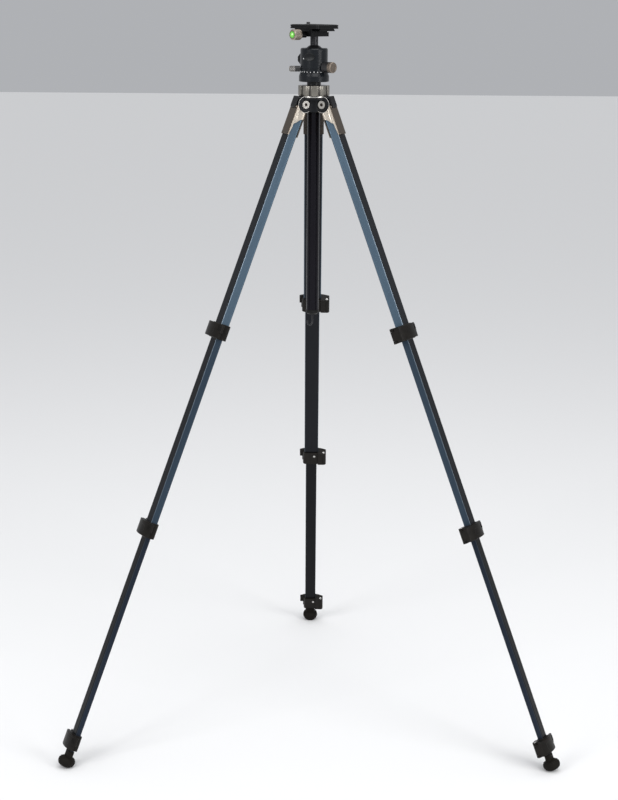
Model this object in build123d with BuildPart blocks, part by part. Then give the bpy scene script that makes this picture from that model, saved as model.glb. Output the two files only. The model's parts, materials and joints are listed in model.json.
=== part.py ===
from build123d import *
import math
import os

os.makedirs("parts", exist_ok=True)

# Tripod with ball head. Millimetres and degrees, +Z up. The origin is on the floor, on the
# centre column's axis. Three legs stand at 90 (rear), 210 (left) and 330 (right) degrees.

# Stance
leg_azimuths = {"rear": 90.0, "left": 210.0, "right": 330.0}
splay = 22.36  # leg from vertical, at the first angle stop
pivot_radius = 23.0  # column axis to pivot bolt
leg_offset = 5.5  # leg centreline outside the pivot bolt
lock_stations = [427.5, 801.7, 1206.0]  # pivot to the middle of each lock, along the leg
foot_station = 1243.2  # pivot to the middle of the rubber foot

# Leg tubes: flattened section, wide face towards the column
leg_width = 36.0
leg_front = 23.0
leg_depth = 14.6
leg_corner = 2.4
tube_wall = 1.0
slide_gap = 0.2  # between one tube and the next inside it
shoe_width = 0.95  # side clearance that a plastic slide plug fills
tube_overlap = 52.0  # what stays inside when a section is fully out
plug_head = 3.0
plug_depth = 6.0
stop_gap = 1.0

# Flip locks
collar_height = 28.0
collar_wall = 3.2
collar_grip = 16.0  # how far the upper tube goes into its collar
clamp_fit = 0.1
clamp_slit = 1.5
knuckle_radius = 4.9
knuckle_height = 5.2
knuckle_reach = 10.0  # lever pin beyond the tube's widest point
lever_pin_radius = 1.9
lever_height = 26.0
lever_crown = 7.7  # lever's outer face beyond the tube's narrow face
lever_gap = 0.4
lever_tab = 16.0  # finger tab past the middle, plus a quarter of the tube's width
lever_tab_share = 0.6

# Feet
foot_radius = 15.4
foot_half_height = 11.0
foot_sleeve_wall = 1.6
foot_sleeve_length = 20.0  # above the middle of the rubber
foot_socket = 12.0

# Leg casting, pivot bolt and angle latch
lug_half_width = 6.4
lug_radius = 7.5
ear_gap = 0.3
ear_thickness = 3.8
ear_radius = 14.5
bolt_radius = 3.0
bolt_head_radius = 7.0
bolt_head_height = 2.3
hex_radius = 2.6
hex_depth = 1.6
pivot_fit = 0.05
casting_wall = 2.4
casting_top = 6.5
casting_bottom = 60.0
tube_1_top = 24.0
arch_top = 36.0
arch_radius = 6.0
latch_half_width = 7.0
latch_thickness = 3.6
latch_top = 9.5
latch_pin_station = 9.0
latch_knuckle = 2.6
latch_pin_radius = 1.2

# Spider and centre column
column_radius = 11.2
column_bore = 9.2
column_flat = 0.5  # depth of the three long flats that stop the column turning
column_below = 370.0  # column's lower end under the pivots
column_fit = 0.05
bush_wall = 1.9
bush_lip = 1.5
bush_length = 40.0
hub_radius = 19.0
hub_bottom = -13.0
flange_radius = 29.0
flange_bottom = 8.3
flange_top = 11.6
rim_radius = 25.6
rim_top = 14.9
neck_radius = 19.0
neck_top = 29.0
ring_radius = 28.0
ring_bottom = 15.2
ring_top = 32.6
ring_web = 3.0
ring_lobes = 10
ring_first_groove = 2.6
lobe_cut_radius = 2.2
lobe_cut_depth = 1.2

# Column ends
cap_radius = 12.4
cap_top = 39.3
stud_radius = 4.7625  # 3/8 inch stud
stud_length = 9.0
end_cap_radius = 11.6
end_cap_height = 8.6
end_cap_spigot = 14.0
hook_wire = 1.5
hook_loop_radius = 5.4
hook_drop = 14.0
hook_tip = 3.0
hook_shank = 8.0
hook_azimuth = 215.0

# Ball head, heights above the pivots
base_radius = 26.7
base_chamfer_radius = 24.6
base_side_top = 49.0
base_top = 54.9
pan_gap = 0.4
spindle_radius = 8.0
spindle_top = 62.0
body_radius = 24.2
body_top = 97.7
body_groove_height = 61.8
body_groove = 0.9
ball_radius = 18.0
ball_height = 86.0
ball_fit = 0.08
cup_bottom = 67.0
cup_top = 77.0
stem_radius = 7.0
stem_top = 117.6
spigot_radius = 4.5
spigot_length = 5.5
slot_azimuth = 30.0  # where the stem drops over to lie flat
slot_gap = 0.4

# Knobs of the ball head: azimuth, height, radius, length outside the body
main_knob = (118.0, 77.3, 10.6, 20.0)
friction_knob = (-42.0, 64.9, 9.5, 21.5)
pan_knob = (180.0, 61.4, 5.2, 19.0)
knob_shaft_radius = 3.0
knob_shaft_depth = 4.5
knob_standoff = 0.6

# Oval recess on the front of the housing
oval_azimuth = 250.0
oval_height = 82.5
oval_half_width = 10.0
oval_half_height = 7.0
oval_depth = 1.0

# Quick-release clamp and plate
clamp_azimuth = 222.0  # direction of the clamp screw's knob
clamp_half_length = 21.0
clamp_half_width = 16.0
clamp_base_top = 126.9
clamp_top = 130.8
dovetail_half_width = 19.0
dovetail_undercut = 3.2
dovetail_rest = 0.1
jaw_gap = 0.15
jaw_thickness = 6.5
jaw_bevel = 1.2
plate_length = 73.0
plate_width = 52.0
plate_bottom = 131.1
plate_top = 137.7
plate_groove = 1.0
knob_screw_radius = 2.5
clamp_screw_height = 121.0
clamp_knob_radius = 9.3
clamp_knob_length = 15.0
clamp_knob_gap = 0.4
clamp_neck_length = 15.0
clamp_neck_radius = 5.5
clamp_knob_grooves = 20
level_radius = 6.0
level_depth = 3.0
screw_radius = 3.175  # 1/4 inch camera screw
screw_length = 4.5
screw_neck_radius = 2.6
screw_offset = 16.0
screw_head_radius = 6.5
screw_head_height = 2.6
screw_slot_half = 22.0
screw_fit = 0.08

pivot_height = (
    math.hypot(foot_radius * math.sin(math.radians(splay)), foot_half_height * math.cos(math.radians(splay)))
    + foot_station * math.cos(math.radians(splay))
    - leg_offset * math.sin(math.radians(splay))
)


def save(part, name):
    """Labels a finished piece and writes it as the node of that name."""
    part.label = name
    export_step(part, f"parts/{name}.step")


def polar(radius, azimuth, height=0.0):
    """A point at a radius and azimuth about the column's axis."""
    angle = math.radians(azimuth)
    return Vector(radius * math.cos(angle), radius * math.sin(angle), height)


def above_pivot(height):
    """A level plane at a height above the pivot bolts."""
    return Plane.XY.offset(pivot_height + height)


# Tube sections are (half width inside, half width outside, depth) of a trapezoid whose wide
# face looks at the column.
def grow(section, distance, side=0.0):
    """The section moved outwards by a distance on every face, and sideways by side as well."""
    inner, outer, depth = section
    slope = (inner - outer) / depth
    across = distance * math.sqrt(1 + slope**2)
    inner += slope * distance + across + side
    outer += across + side - slope * distance
    return (inner, outer, depth + 2 * distance)


def outline(plane, section, corner):
    """The section as a face on a plane, with rounded corners."""
    inner, outer, depth = section
    with BuildSketch(plane) as face:
        with BuildLine():
            Polyline((-depth / 2, -inner), (depth / 2, -outer), (depth / 2, outer), (-depth / 2, inner),
                     close=True)
        make_face()
        fillet(face.vertices(), corner)
    return face.sketch


sections = [(leg_width / 2, leg_front / 2, leg_depth)]
for _ in range(3):
    sections.append(grow(sections[-1], -(tube_wall + slide_gap), -shoe_width))
bores = [grow(section, -tube_wall) for section in sections]
bore_corner = leg_corner - tube_wall

lug_to_ear = lug_half_width + ear_gap
ear_face = lug_to_ear + ear_thickness


class Leg:
    """Planes of one leg: x points outwards across it, y along the pivot bolt, z up along it."""

    def __init__(self, azimuth):
        outward = polar(math.cos(math.radians(splay)), azimuth, math.sin(math.radians(splay)))
        self.up = polar(-math.sin(math.radians(splay)), azimuth, math.cos(math.radians(splay)))
        self.outward = outward
        self.along_bolt = self.up.cross(outward)
        self.pivot = polar(pivot_radius, azimuth, pivot_height)
        self.centre = self.pivot + outward * leg_offset

    def across(self, station):
        """The plane square to the leg, at a distance down from the pivot."""
        return Plane(self.centre - self.up * station, x_dir=self.outward, z_dir=self.up)

    def side(self, origin, away=0.0):
        """The plane of the leg's side view: x outwards, y up the leg, moved along the bolt."""
        return Plane(origin + self.along_bolt * away, x_dir=self.outward, z_dir=-self.along_bolt)


legs = {name: Leg(azimuth) for name, azimuth in leg_azimuths.items()}


def make_tube(leg, number, top, bottom):
    """One leg tube, with a plastic slide plug in its top when it runs inside another tube."""
    length = bottom - top
    with BuildPart() as tube:
        extrude(outline(leg.across(bottom), sections[number], leg_corner), amount=length)
        extrude(outline(leg.across(bottom), bores[number], bore_corner), amount=length, mode=Mode.SUBTRACT)
    solids = [tube.part.solid()]
    if number:
        with BuildPart() as plug:
            level = leg.across(top)
            extrude(outline(level, grow(bores[number - 1], -clamp_fit), bore_corner), amount=plug_head)
            extrude(outline(level, grow(bores[number], -clamp_fit), bore_corner), amount=-plug_depth)
        solids.append(plug.part.solid())
    return Compound(children=solids)


def lever_pin(number):
    """The lever pin's place in a lock, outwards and along the bolt."""
    inner, _, depth = sections[number]
    return (-depth / 2 - 0.3, -inner - knuckle_reach)


def make_collar(leg, number, station):
    """A clamp collar on the end of a tube, with its lever pin as a second solid."""
    upper = sections[number]
    lower = grow(sections[number + 1], clamp_fit)
    shell = grow(upper, collar_wall)
    pin_x, pin_y = lever_pin(number)
    base = station + collar_height / 2
    middle = collar_height - 2 * knuckle_height
    with BuildPart() as collar:
        extrude(outline(leg.across(base), shell, leg_corner + collar_wall), amount=collar_height)
        rims = collar.faces().sort_by(Axis(leg.centre, leg.up))
        chamfer(rims[0].edges() + rims[-1].edges(), 0.6)
        with BuildSketch(leg.across(base)) as knuckle:
            with Locations((pin_x, pin_y)):
                Circle(knuckle_radius)
            with Locations((pin_x, (pin_y - upper[0]) / 2 + 1)):
                Rectangle(2 * knuckle_radius, 2 - upper[0] - pin_y)
        extrude(amount=collar_height)
        with BuildSketch(leg.across(base - knuckle_height)) as pocket:
            with Locations((pin_x, pin_y)):
                Circle(knuckle_radius + 0.6)
        extrude(amount=middle, mode=Mode.SUBTRACT)
        extrude(outline(leg.across(base), lower, leg_corner), amount=collar_height, mode=Mode.SUBTRACT)
        grip = leg.across(station - collar_height / 2 + collar_grip)
        extrude(outline(grip, upper, leg_corner), amount=collar_grip, mode=Mode.SUBTRACT)
        with BuildSketch(leg.across(base)) as slit:
            with Locations((pin_x + knuckle_radius + 1.5, -shell[0])):
                Rectangle(clamp_slit, 2 * shell[0])
        extrude(amount=collar_height - collar_grip - 1, mode=Mode.SUBTRACT)
        with BuildSketch(leg.across(base)) as pin_hole:
            with Locations((pin_x, pin_y)):
                Circle(lever_pin_radius + 0.02)
        extrude(amount=collar_height, mode=Mode.SUBTRACT)
    with BuildPart() as pin:
        with BuildSketch(leg.across(base - 0.4)) as rod:
            with Locations((pin_x, pin_y)):
                Circle(lever_pin_radius)
        extrude(amount=collar_height - 0.8)
    return Compound(children=[collar.part.solid(), pin.part.solid()])


def make_lever(leg, number, station):
    """A flip lever: a boss between the collar's knuckles and a crowned plate round its front."""
    inner, outer, depth = sections[number]
    clear_of_collar = grow(sections[number], collar_wall + lever_gap)
    pin_x, pin_y = lever_pin(number)
    arm_x = pin_x + knuckle_radius + 0.7
    side_y = pin_y - knuckle_radius
    tip_y = lever_tab + inner / 2
    base = station + lever_height / 2
    boss_height = collar_height - 2 * knuckle_height - 0.6
    with BuildPart() as lever:
        with BuildSketch(leg.across(base)) as plate:
            with BuildLine():
                Line((arm_x, side_y), (depth / 2 + 0.5, side_y))
                ThreePointArc((depth / 2 + 0.5, side_y), (depth / 2 + lever_crown, -3),
                              (depth / 2 + 2.5, tip_y))
                Line((depth / 2 + 2.5, tip_y), (depth / 2 - 1.5, tip_y))
                Line((depth / 2 - 1.5, tip_y), (depth / 2 - 1.5, 0))
                Line((depth / 2 - 1.5, 0), (arm_x, -inner / 2))
                Line((arm_x, -inner / 2), (arm_x, side_y))
            make_face()
            fillet(plate.vertices().sort_by(Axis.Y)[-2:], 1.6)
        extrude(amount=lever_height)
        faces = lever.faces().sort_by(Axis(leg.centre, leg.up))
        chamfer(faces[0].edges() + faces[-1].edges(), 0.7)
        hollow = outline(leg.across(base + 1), clear_of_collar, leg_corner + collar_wall + lever_gap)
        extrude(hollow, amount=lever_height + 2, mode=Mode.SUBTRACT)
        with BuildSketch(leg.across(base)) as finger:
            with Locations((depth / 2, tip_y)):
                Rectangle(4 * lever_crown, 2 * (tip_y - inner - 3.5))
        extrude(amount=lever_height * (1 - lever_tab_share), mode=Mode.SUBTRACT)
        with BuildSketch(leg.across(station + boss_height / 2)) as boss:
            with Locations((pin_x, pin_y)):
                Circle(knuckle_radius)
            with Locations(((pin_x + arm_x + 2) / 2, pin_y + (1 - knuckle_radius) / 2)):
                Rectangle(arm_x + 2 - pin_x, knuckle_radius + 1)
        extrude(amount=boss_height)
        with BuildSketch(leg.across(base)) as bore:
            with Locations((pin_x, pin_y)):
                Circle(lever_pin_radius + pivot_fit)
        extrude(amount=lever_height, mode=Mode.SUBTRACT)
    return lever.part


def make_foot(leg):
    """A rubber foot: a flattened ball with a sleeve that grips the last tube."""
    sleeve = grow(sections[3], foot_sleeve_wall)
    with BuildPart() as foot:
        with BuildSketch(leg.side(leg.centre - leg.up * foot_station)) as ball:
            Ellipse(foot_radius, foot_half_height)
            with Locations((-foot_radius, 0)):
                Rectangle(2 * foot_radius, 4 * foot_half_height, mode=Mode.SUBTRACT)
        revolve(axis=Axis(leg.centre - leg.up * foot_station, leg.up))
        sleeve_base = leg.across(foot_station)
        extrude(outline(sleeve_base, sleeve, leg_corner + foot_sleeve_wall), amount=foot_sleeve_length)
        socket = leg.across(foot_station - foot_sleeve_length + foot_socket)
        extrude(outline(socket, sections[3], leg_corner), amount=foot_sleeve_length, mode=Mode.SUBTRACT)
    return foot.part


def make_shoulder(leg):
    """The leg's top casting: a lug on the pivot bolt and an arched sleeve over the first tube."""
    shell = grow(sections[0], casting_wall)
    height = casting_bottom - casting_top
    with BuildPart() as casting:
        extrude(outline(leg.across(casting_bottom), shell, leg_corner + casting_wall), amount=height)
        side = leg.side(leg.pivot)
        with BuildSketch(side) as hinge_room:
            Circle(ear_radius + 1.2)
        extrude(amount=shell[0] + 1, both=True, mode=Mode.SUBTRACT)
        with BuildSketch(side) as lug:
            Circle(lug_radius)
            with BuildLine():
                Polyline((-lug_radius, 0), (lug_radius, 0), (leg_offset + 7, -18), (leg_offset + 7, -22),
                         (leg_offset - 7, -22), (leg_offset - 7, -18), close=True)
            make_face()
        extrude(amount=lug_half_width, both=True)
        extrude(outline(leg.across(casting_bottom), sections[0], leg_corner),
                amount=casting_bottom - tube_1_top, mode=Mode.SUBTRACT)
        with BuildSketch(leg.side(leg.centre)) as arch:
            with Locations((0.5, -arch_top - arch_radius)):
                Circle(arch_radius)
            with Locations((0.5, -(arch_top + arch_radius + casting_bottom) / 2 - 1)):
                Rectangle(2 * arch_radius, casting_bottom - arch_top - arch_radius + 2)
        extrude(amount=shell[0] + 1, both=True, mode=Mode.SUBTRACT)
        with BuildSketch(side) as latch_room:
            with Locations((leg_offset + leg_depth / 2 + casting_wall, -latch_pin_station)):
                Circle(latch_knuckle + 0.35)
            with Locations((leg_offset + leg_depth / 2 + casting_wall, -latch_pin_station + 8)):
                Rectangle(2 * latch_knuckle + 1.0, 16)
        extrude(amount=latch_half_width + ear_gap, both=True, mode=Mode.SUBTRACT)
        with BuildSketch(side) as bolt_hole:
            Circle(bolt_radius + pivot_fit)
        extrude(amount=lug_half_width + 1, both=True, mode=Mode.SUBTRACT)
    return casting.part


def make_latch(leg):
    """The angle latch: a sprung tab whose upper end stops against the spider's flange."""
    hinge_x = leg_offset + leg_depth / 2 + casting_wall
    inner_x = ear_radius + 0.4
    with BuildPart() as latch:
        with BuildSketch(leg.side(leg.pivot)) as tab:
            with Locations((hinge_x, -latch_pin_station)):
                Circle(latch_knuckle)
            with Locations((inner_x + latch_thickness / 2, (latch_top - latch_pin_station) / 2)):
                RectangleRounded(latch_thickness, latch_top + latch_pin_station, latch_thickness / 2 - 0.3)
            with Locations((hinge_x, -latch_pin_station)):
                Circle(latch_pin_radius + pivot_fit, mode=Mode.SUBTRACT)
        extrude(amount=latch_half_width, both=True)
    return latch.part


def make_latch_pin(leg):
    """The steel pin of an angle latch, held in the casting's two cheeks."""
    hinge_x = leg_offset + leg_depth / 2 + casting_wall
    with BuildPart() as pin:
        with BuildSketch(leg.side(leg.pivot)) as rod:
            with Locations((hinge_x, -latch_pin_station)):
                Circle(latch_pin_radius)
        extrude(amount=latch_half_width + 3.5, both=True)
    return pin.part.solid()


def make_pivot_bolt(leg):
    """A leg's pivot bolt with its nut made solid with it, both with a hexagon socket."""
    with BuildPart() as bolt:
        with BuildSketch(leg.side(leg.pivot)) as shank:
            Circle(bolt_radius)
        extrude(amount=ear_face, both=True)
        for side in (-1, 1):
            face = leg.side(leg.pivot, side * ear_face)
            with BuildSketch(face) as head:
                Circle(bolt_head_radius)
            extrude(amount=-side * bolt_head_height)
            outer = leg.side(leg.pivot, side * (ear_face + bolt_head_height))
            with BuildSketch(outer) as socket:
                RegularPolygon(hex_radius, 6)
            extrude(amount=side * hex_depth, mode=Mode.SUBTRACT)
    return bolt.part.solid()


bolts = []
for name, leg in legs.items():
    bottoms = [station - collar_height / 2 + collar_grip for station in lock_stations]
    tops = [tube_1_top, lock_stations[0] - tube_overlap, lock_stations[1] - tube_overlap]
    tops.append(tops[2] + plug_depth + plug_head + stop_gap)
    bottoms.append(foot_station - foot_sleeve_length + foot_socket)
    for number in range(4):
        save(make_tube(leg, number, tops[number], bottoms[number]), f"{name}_tube_{number + 1}")
    for number, station in enumerate(lock_stations):
        save(make_collar(leg, number, station), f"{name}_lock_{number + 1}_collar")
        save(make_lever(leg, number, station), f"{name}_lock_{number + 1}_lever")
    save(make_foot(leg), f"{name}_foot")
    pin = make_latch_pin(leg)
    shoulder = make_shoulder(leg) - pin
    save(Compound(children=[shoulder.solid(), pin]), f"{name}_shoulder")
    save(make_latch(leg), f"{name}_angle_latch")
    bolts.append(make_pivot_bolt(leg))
save(Compound(children=bolts), "leg_pivot_bolts")


profile_plane = Plane(origin=(0, 0, pivot_height), x_dir=(1, 0, 0), z_dir=(0, -1, 0))


def turned(*points):
    """A solid turned about the column's axis from (radius, height above the pivots) points."""
    with BuildPart() as piece:
        with BuildSketch(profile_plane) as half:
            with BuildLine():
                Polyline(*points, close=True)
            make_face()
        revolve(axis=Axis.Z)
    return piece.part


def column_outline(plane, extra=0.0):
    """The column's section: a circle with three long flats, each facing between two legs."""
    radius = column_radius + extra
    with BuildSketch(plane) as face:
        Circle(radius)
        for azimuth in leg_azimuths.values():
            with Locations(Location(polar(2 * radius - column_flat, azimuth + 180), azimuth)):
                Rectangle(2 * radius, 2 * radius, mode=Mode.SUBTRACT)
    return face.sketch


# Spider: hub, flange, polished rim and threaded neck, with a pair of ears for each leg
bush_radius = column_radius + column_fit + bush_wall
with BuildPart() as spider:
    add(turned((bush_radius, hub_bottom), (hub_radius, hub_bottom), (hub_radius, flange_bottom),
               (flange_radius, flange_bottom), (flange_radius, flange_top), (rim_radius, flange_top),
               (rim_radius, rim_top), (neck_radius, rim_top), (neck_radius, neck_top),
               (bush_radius, neck_top)))
    for leg in legs.values():
        with BuildSketch(leg.side(leg.pivot)) as ear:
            Circle(ear_radius)
        extrude(amount=ear_face, both=True)
        across = Plane(origin=leg.pivot, x_dir=Vector(leg.pivot.X, leg.pivot.Y, 0), z_dir=-leg.along_bolt)
        with BuildSketch(across) as root:
            with Locations((-pivot_radius / 4, (hub_bottom + flange_bottom) / 2)):
                Rectangle(pivot_radius / 2, flange_bottom - hub_bottom)
            with Locations((2, (flange_bottom + flange_top) / 2)):
                Rectangle(2 * (flange_radius + 3 - pivot_radius), flange_top - flange_bottom)
        extrude(amount=ear_face, both=True)
    for leg in legs.values():
        across = Plane(origin=leg.pivot, x_dir=Vector(leg.pivot.X, leg.pivot.Y, 0), z_dir=-leg.along_bolt)
        with BuildSketch(across) as lug_room:
            Circle(lug_radius + 0.4)
            with Locations((ear_radius, (hub_bottom - ear_radius + flange_bottom - 0.4) / 2)):
                Rectangle(2 * (ear_radius + lug_radius), flange_bottom - 0.4 - hub_bottom + ear_radius)
        extrude(amount=lug_to_ear, both=True, mode=Mode.SUBTRACT)
        with BuildSketch(leg.side(leg.pivot)) as bolt_hole:
            Circle(bolt_radius + 0.02)
        extrude(amount=2 * ear_face, both=True, mode=Mode.SUBTRACT)
    add(turned((0, hub_bottom - 20), (bush_radius, hub_bottom - 20), (bush_radius, neck_top), (0, neck_top)),
        mode=Mode.SUBTRACT)
save(spider.part, "spider")

with BuildPart() as column_bush:
    add(turned((0, hub_bottom - bush_lip), (bush_radius + bush_wall, hub_bottom - bush_lip),
               (bush_radius + bush_wall, hub_bottom), (bush_radius, hub_bottom), (bush_radius, neck_top),
               (0, neck_top)))
    bush_bottom = hub_bottom - bush_lip
    extrude(column_outline(above_pivot(bush_bottom), column_fit), amount=neck_top - bush_bottom,
            mode=Mode.SUBTRACT)
save(column_bush.part, "column_bush")

with BuildPart() as lock_ring:
    add(turned((neck_radius + column_fit, ring_bottom), (ring_radius - 1.2, ring_bottom),
               (ring_radius, ring_bottom + 1.2), (ring_radius, ring_top - 0.8), (ring_radius - 0.8, ring_top),
               (column_radius + 0.4, ring_top), (column_radius + 0.4, ring_top - ring_web),
               (neck_radius + column_fit, ring_top - ring_web)))
    with BuildSketch(above_pivot(ring_bottom)) as grooves:
        with PolarLocations(ring_radius + lobe_cut_radius - lobe_cut_depth, ring_lobes,
                            start_angle=ring_first_groove):
            Circle(lobe_cut_radius)
    extrude(amount=ring_top - ring_bottom, mode=Mode.SUBTRACT)
save(lock_ring.part, "column_lock_ring")

cap_bottom = ring_top + 0.6
with BuildPart() as column_tube:
    extrude(column_outline(above_pivot(-column_below)), amount=column_below + cap_bottom)
    with BuildSketch(above_pivot(-column_below)) as bore:
        Circle(column_bore)
    extrude(amount=column_below + cap_bottom, mode=Mode.SUBTRACT)
save(column_tube.part, "column_tube")

# The column's top cap and the stud that the ball head screws onto
stud_bottom = cap_bottom - stud_length
cap = turned((0, cap_bottom - stud_length - 2), (column_bore - 0.02, cap_bottom - stud_length - 2),
             (column_bore - 0.02, cap_bottom), (cap_radius, cap_bottom), (cap_radius, cap_top - 0.6),
             (cap_radius - 0.6, cap_top), (stud_radius + 0.02, cap_top), (stud_radius + 0.02, stud_bottom),
             (0, stud_bottom))
stud = turned((0, stud_bottom), (stud_radius, stud_bottom), (stud_radius, cap_top + stud_length - 0.8),
              (stud_radius - 0.8, cap_top + stud_length), (0, cap_top + stud_length))
save(Compound(children=[cap.solid(), stud.solid()]), "column_top_cap")

# The column's lower cap, bored for the hook's shank
shank_top = -column_below - end_cap_height + hook_shank
with BuildPart() as end_cap:
    add(turned((0, -column_below + end_cap_spigot), (column_bore - 0.02, -column_below + end_cap_spigot),
               (column_bore - 0.02, -column_below), (end_cap_radius, -column_below),
               (end_cap_radius, -column_below - end_cap_height * 0.6),
               (hook_shank, -column_below - end_cap_height),
               (hook_wire + pivot_fit, -column_below - end_cap_height),
               (hook_wire + pivot_fit, shank_top + 0.1),
               (0, shank_top + 0.1)))
save(end_cap.part, "column_end_cap")

hook_plane = Plane(origin=(0, 0, pivot_height - column_below - end_cap_height), x_dir=polar(1, hook_azimuth),
                   z_dir=polar(1, hook_azimuth - 90))
with BuildPart() as hook:
    with BuildLine(hook_plane) as wire:
        Line((0, hook_shank), (0, -hook_drop))
        ThreePointArc((0, -hook_drop), (hook_loop_radius, -hook_drop - hook_loop_radius),
                      (2 * hook_loop_radius, -hook_drop))
        Line((2 * hook_loop_radius, -hook_drop), (2 * hook_loop_radius, -hook_drop + hook_tip))
    with BuildSketch(Plane(wire.line @ 0, z_dir=wire.line % 0)) as round_wire:
        Circle(hook_wire)
    sweep()
save(hook.part, "ballast_hook")

# Pan base with its spindle, bored for the stud
with BuildPart() as pan_base:
    add(turned((stud_radius + 0.02, cap_top), (base_radius - 0.8, cap_top), (base_radius, cap_top + 0.8),
               (base_radius, base_side_top), (base_chamfer_radius, base_top), (spindle_radius, base_top),
               (spindle_radius, spindle_top), (0, spindle_top), (0, cap_top + stud_length + 0.1),
               (stud_radius + 0.02, cap_top + stud_length + 0.1)))
save(pan_base.part, "pan_base")


def knob_plane(azimuth, height, reach):
    """A plane facing outwards at an azimuth, at a distance from the column's axis."""
    origin = polar(reach, azimuth, pivot_height + height)
    return Plane(origin=origin, x_dir=polar(1, azimuth + 90), z_dir=polar(1, azimuth))


def knob(spec, lobes, lobe_depth):
    """A knob with its shaft: a grip cut with lobes on a plain collar."""
    azimuth, height, radius, length = spec
    start = body_radius + knob_standoff
    with BuildPart() as piece:
        with BuildSketch(knob_plane(azimuth, height, start)) as grip:
            Circle(radius)
        extrude(amount=length - knob_standoff)
        chamfer(piece.faces().sort_by(Axis((0, 0, 0), polar(1, azimuth)))[-1].edges(), 1.2)
        if lobes:
            with BuildSketch(knob_plane(azimuth, height, start + 2)) as cuts:
                with PolarLocations(radius + 2 * lobe_depth, lobes):
                    Circle(3 * lobe_depth)
            extrude(amount=length, mode=Mode.SUBTRACT)
        with BuildSketch(knob_plane(azimuth, height, body_radius - knob_shaft_depth)) as shaft:
            Circle(knob_shaft_radius)
        extrude(amount=knob_shaft_depth + knob_standoff)
    return piece.part


# The ball's housing: a cup open at the top, with a slot that the stem drops into
housing_bottom = base_top + pan_gap
with BuildPart() as ball_housing:
    add(turned((spindle_radius + pivot_fit, housing_bottom), (body_radius, housing_bottom),
               (body_radius, body_top - 2.5), (body_radius - 0.8, body_top - 0.8),
               (body_radius - 2.5, body_top), (0, body_top), (0, spindle_top + 0.4),
               (spindle_radius + pivot_fit, spindle_top + 0.4)))
    groove_floor = body_radius - body_groove
    add(turned((groove_floor, body_groove_height - 0.6), (body_radius + 1, body_groove_height - 0.6),
               (body_radius + 1, body_groove_height + 0.6), (groove_floor, body_groove_height + 0.6)),
        mode=Mode.SUBTRACT)
    with BuildSketch(above_pivot(cup_bottom)) as cavity:
        Circle(ball_radius + 1.0)
    extrude(amount=ball_height - cup_bottom, mode=Mode.SUBTRACT)
    with Locations((0, 0, pivot_height + ball_height)):
        Sphere(ball_radius + ball_fit, mode=Mode.SUBTRACT)
    slot = knob_plane(slot_azimuth, ball_height, 0)
    with BuildSketch(slot) as stem_slot:
        Circle(stem_radius + slot_gap)
        with Locations((0, ball_radius)):
            Rectangle(2 * (stem_radius + slot_gap), 2 * ball_radius)
    extrude(amount=2 * body_radius, mode=Mode.SUBTRACT)
    with BuildSketch(knob_plane(oval_azimuth, oval_height, body_radius - oval_depth)) as oval:
        Ellipse(oval_half_width, oval_half_height)
    extrude(amount=5, mode=Mode.SUBTRACT)
    for azimuth, height, _, _ in (main_knob, friction_knob, pan_knob):
        with BuildSketch(knob_plane(azimuth, height, body_radius - knob_shaft_depth - 0.3)) as knob_hole:
            Circle(knob_shaft_radius + pivot_fit)
        extrude(amount=knob_shaft_depth + 1, mode=Mode.SUBTRACT)
save(ball_housing.part, "ball_housing")

with BuildPart() as ball_cup:
    with BuildSketch(above_pivot(cup_bottom)) as cup_ring:
        Circle(ball_radius + 0.9)
        Circle(spindle_radius, mode=Mode.SUBTRACT)
    extrude(amount=cup_top - cup_bottom)
    with Locations((0, 0, pivot_height + ball_height)):
        Sphere(ball_radius + ball_fit, mode=Mode.SUBTRACT)
save(ball_cup.part, "ball_cup")

with BuildPart() as ball_stem:
    with Locations((0, 0, pivot_height + ball_height)):
        Sphere(ball_radius)
    with BuildSketch(above_pivot(ball_height)) as stem:
        Circle(stem_radius)
    extrude(amount=stem_top - ball_height)
    with BuildSketch(above_pivot(stem_top)) as spigot:
        Circle(spigot_radius)
    extrude(amount=spigot_length)
save(ball_stem.part, "ball_stem")

save(knob(main_knob, 9, 1.0), "main_knob")
save(knob(friction_knob, 0, 0), "friction_knob")
save(knob(pan_knob, 0, 0), "pan_lock_knob")


def clamp_level(height):
    """A level plane of the clamp: x towards its knob, y along the dovetail."""
    return Plane(origin=(0, 0, pivot_height + height), x_dir=polar(1, clamp_azimuth), z_dir=(0, 0, 1))


def clamp_section(end):
    """The clamp's end view, at a distance along the dovetail: x towards its knob, y up."""
    origin = Vector(0, 0, pivot_height) + polar(end, clamp_azimuth + 90)
    return Plane(origin=origin, x_dir=polar(1, clamp_azimuth), z_dir=polar(-1, clamp_azimuth + 90))


def clamp_axis_plane(reach):
    """The plane square to the clamp screw, at a distance from the stem's axis."""
    return knob_plane(clamp_azimuth, clamp_screw_height, reach)


def prism(*points):
    """A solid drawn in the clamp's end view and as long as the clamp."""
    with BuildPart() as piece:
        with BuildSketch(clamp_section(clamp_half_width)) as face:
            with BuildLine():
                Polyline(*points, close=True)
            make_face()
        extrude(amount=2 * clamp_half_width)
    return piece.part


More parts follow.
